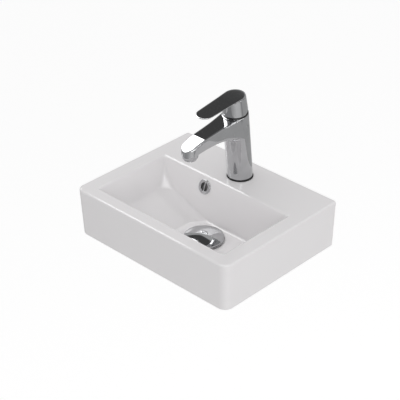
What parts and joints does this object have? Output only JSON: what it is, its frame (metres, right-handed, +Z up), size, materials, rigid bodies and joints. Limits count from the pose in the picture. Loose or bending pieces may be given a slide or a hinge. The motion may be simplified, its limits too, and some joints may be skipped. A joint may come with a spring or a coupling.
{
  "type": "washbasin",
  "caption": "Small rectangular wall-hung ceramic washbasin with a sloping bowl, a leaning single-lever mixer tap, a domed push-to-close waste and an overflow.",
  "frame": {"origin": "midway between the centres of the two wall bolt holes, on the flat back face of the basin; the rim is 45 mm above it", "axes": "+X to the right seen from the front, +Y into the wall, +Z up; the user stands at -Y"},
  "size_m": [0.35, 0.275, 0.3034],
  "materials": {
    "glazed_ceramic": "glossy white glaze over vitreous china",
    "chrome": "polished chrome plate",
    "brass": "turned brass",
    "steel": "plain zinc or stainless steel",
    "black_rubber": "matt black EPDM",
    "black_plastic": "satin black",
    "white_nylon": "moulded, satin",
    "blue_acetal": "moulded, satin",
    "disc_ceramic": "lapped alumina",
    "index_red": "gloss"
  },
  "bodies": {
    "root": {"basin": "glazed_ceramic", "overflow_ring": "chrome", "overflow_sleeve": "white_nylon", "waste_body": "chrome", "flange_seal": "black_rubber", "lower_gasket": "black_rubber", "slide_washer": "white_nylon", "backnut": "brass", "click_barrel": "brass", "click_spring": "steel", "tap_body": "chrome", "base_gasket": "black_rubber", "fixing_stud": "steel", "rubber_horseshoe": "black_rubber", "metal_horseshoe": "steel", "stud_nut": "brass", "cartridge_base": "white_nylon", "port_seals": "black_rubber", "fixed_disc": "disc_ceramic", "cartridge_housing": "blue_acetal", "cartridge_nut": "brass", "dome_ring": "black_plastic", "aerator_shell": "chrome", "aerator_insert": "white_nylon", "aerator_washer": "black_rubber"},
    "mixer_turn": {"cartridge_rotor": "white_nylon", "neck_seal": "black_rubber", "spindle_pin": "steel"},
    "lever": {"lever_handle": "chrome", "lever_spindle": "brass", "grub_screw": "steel", "index_plug": "index_red"},
    "mixing_disc": {"moving_disc": "disc_ceramic", "disc_carrier": "blue_acetal"},
    "waste_plug": {"waste_cap": "chrome", "cap_seal": "black_rubber", "click_plunger": "brass"}
  },
  "joints": [
    {"name": "lever_turn", "type": "hinge", "parent": "root", "child": "mixer_turn", "pos_m": [0, -0.049, 0.045], "axis": [0, -0.1132, 0.9936], "range_deg": [-45, 45]},
    {"name": "lever_lift", "type": "hinge", "parent": "mixer_turn", "child": "lever", "pos_m": [0, -0.06383, 0.17516], "axis": [-1, 0, 0], "range_deg": [0, 20]},
    {"name": "disc_slide", "type": "slide", "parent": "mixer_turn", "child": "mixing_disc", "axis": [0, -0.9936, -0.1132], "range_m": [0, 0.0063]},
    {"name": "plug_slide", "type": "slide", "parent": "root", "child": "waste_plug", "axis": [0, 0, 1], "range_m": [0, 0.008], "deforming": ["click_spring"]}
  ],
  "couplings": [
    {"joint": "disc_slide", "follows": "lever_lift", "m_per_rad": 0.017909}
  ]
}
